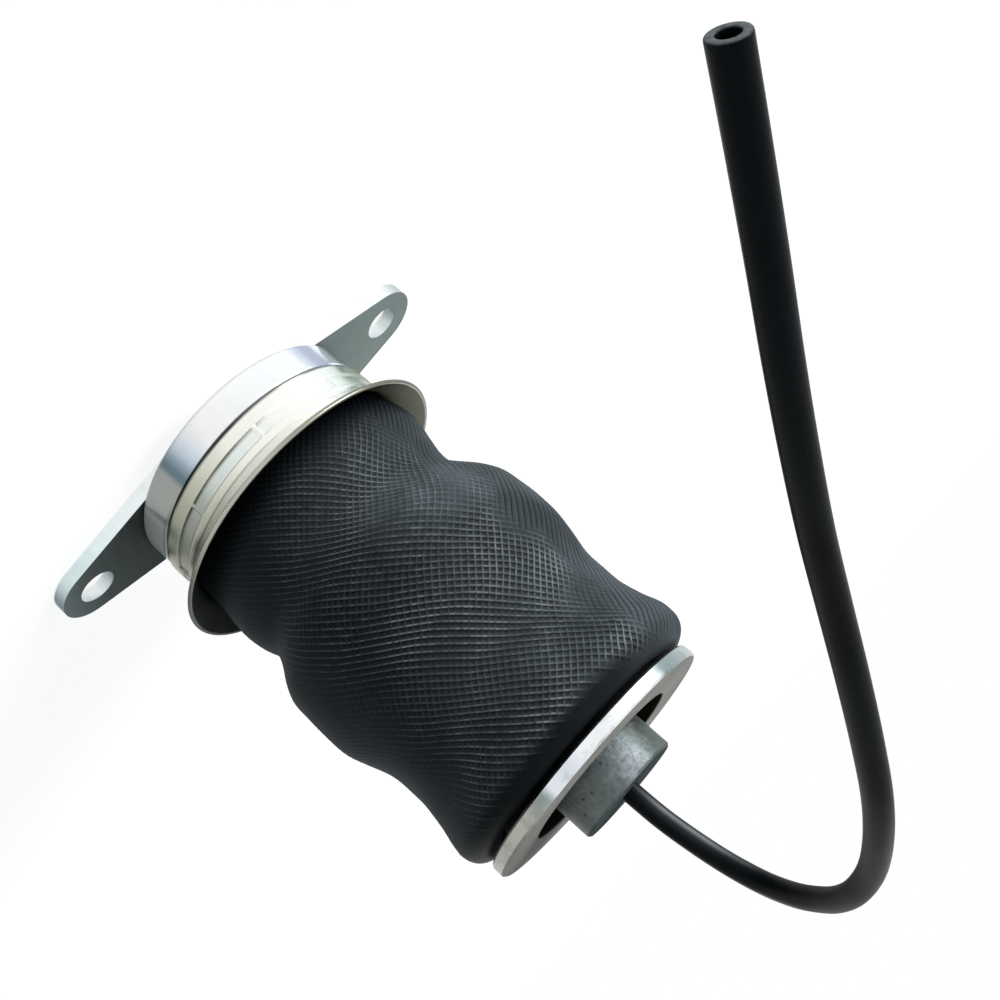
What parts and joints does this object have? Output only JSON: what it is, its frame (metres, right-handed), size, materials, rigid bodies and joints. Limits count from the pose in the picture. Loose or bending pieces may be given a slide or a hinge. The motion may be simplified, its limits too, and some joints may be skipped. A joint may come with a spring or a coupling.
{
  "type": "cab air spring",
  "caption": "Cab air spring: eared plate and flared can, black rolled rubber bellows, moving head with end ring, standing hub and a bare-ended air hose.",
  "frame": {"origin": "centre of the mounting plate's lower face, on the spring's axis", "axes": "+Z along the spring's axis from the plate to the head, +X along the two ears, +Y the side the hose arcs over to"},
  "size_m": [0.168, 0.3364, 0.2531],
  "materials": {
    "plate_zinc": "blue-grey zinc plate, fine brushed",
    "can_zinc": "bright zinc plate",
    "sleeve_zinc": "pale yellow zinc plate",
    "buffer_rubber": "matt",
    "bellows_rubber": "satin, fine raised diamond lines",
    "piston_alloy": "cast, matt",
    "ring_alloy": "turned, satin",
    "hub_cast": "matt casting with small pits",
    "seal_rubber": "matt",
    "screw_zinc": "pale yellow zinc plate",
    "brass": "turned",
    "hose_rubber": "satin"
  },
  "bodies": {
    "base": {"mounting_plate": "plate_zinc", "can_shell": "can_zinc", "guide_sleeve": "sleeve_zinc", "bump_stop_rivet": "plate_zinc", "bump_stop_seat": "can_zinc", "bump_stop": "buffer_rubber", "bellows": "bellows_rubber"},
    "head": {"piston": "piston_alloy", "end_ring": "ring_alloy", "head_clamp_ring": "can_zinc", "hub": "hub_cast", "hub_seal": "seal_rubber", "hub_washer": "can_zinc", "hub_nut": "screw_zinc", "hose_nipple": "brass", "nipple_seal": "seal_rubber", "hose_ferrule": "brass", "strike_plate": "plate_zinc", "strike_plate_screws": "screw_zinc", "air_hose": "hose_rubber"}
  },
  "joints": [
    {"name": "spring_travel", "type": "slide", "parent": "base", "child": "head", "axis": [0, 0, 1], "range_m": [-0.05, 0.02], "stiffness_N_per_m": 6000, "springref_m": 0.001, "deforming": ["bellows"]}
  ]
}
